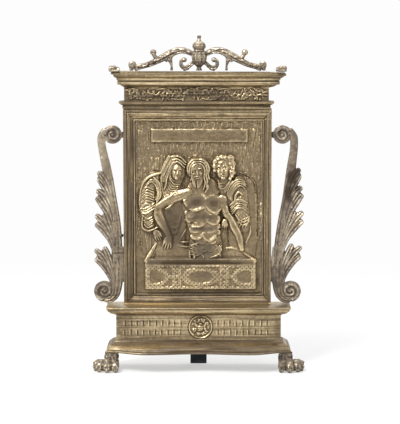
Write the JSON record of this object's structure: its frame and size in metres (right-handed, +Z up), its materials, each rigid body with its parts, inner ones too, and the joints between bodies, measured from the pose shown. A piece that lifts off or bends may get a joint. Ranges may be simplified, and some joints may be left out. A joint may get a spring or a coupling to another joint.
{
  "type": "liturgical pax",
  "caption": "Standing brass pax: a framed relief tablet under a moulded cornice with a crest, side scrolls, a pedestal on lion paws and a strap handle behind.",
  "frame": {"origin": "on the ground under the middle of the bounding box", "axes": "+Z up, the relief faces -Y, +X to the right of a person who looks at the relief"},
  "size_m": [0.1068, 0.0412, 0.167],
  "materials": {
    "gilt_brass": "cast, chased and rubbed, dark in the recesses",
    "pale_brass": "cast, greyer and duller",
    "dark_iron": "blackened"
  },
  "bodies": {
    "root": {"pedestal": "gilt_brass", "paw_foot_left": "pale_brass", "paw_foot_right": "pale_brass", "frame": "gilt_brass", "relief_plaque": "gilt_brass", "entablature": "gilt_brass", "cresting": "pale_brass", "corner_leaf_left": "pale_brass", "corner_leaf_right": "pale_brass", "side_scroll_left": "pale_brass", "side_scroll_right": "pale_brass", "back_handle": "dark_iron", "rivet_lower": "dark_iron", "rivet_upper": "dark_iron"}
  },
  "joints": []
}
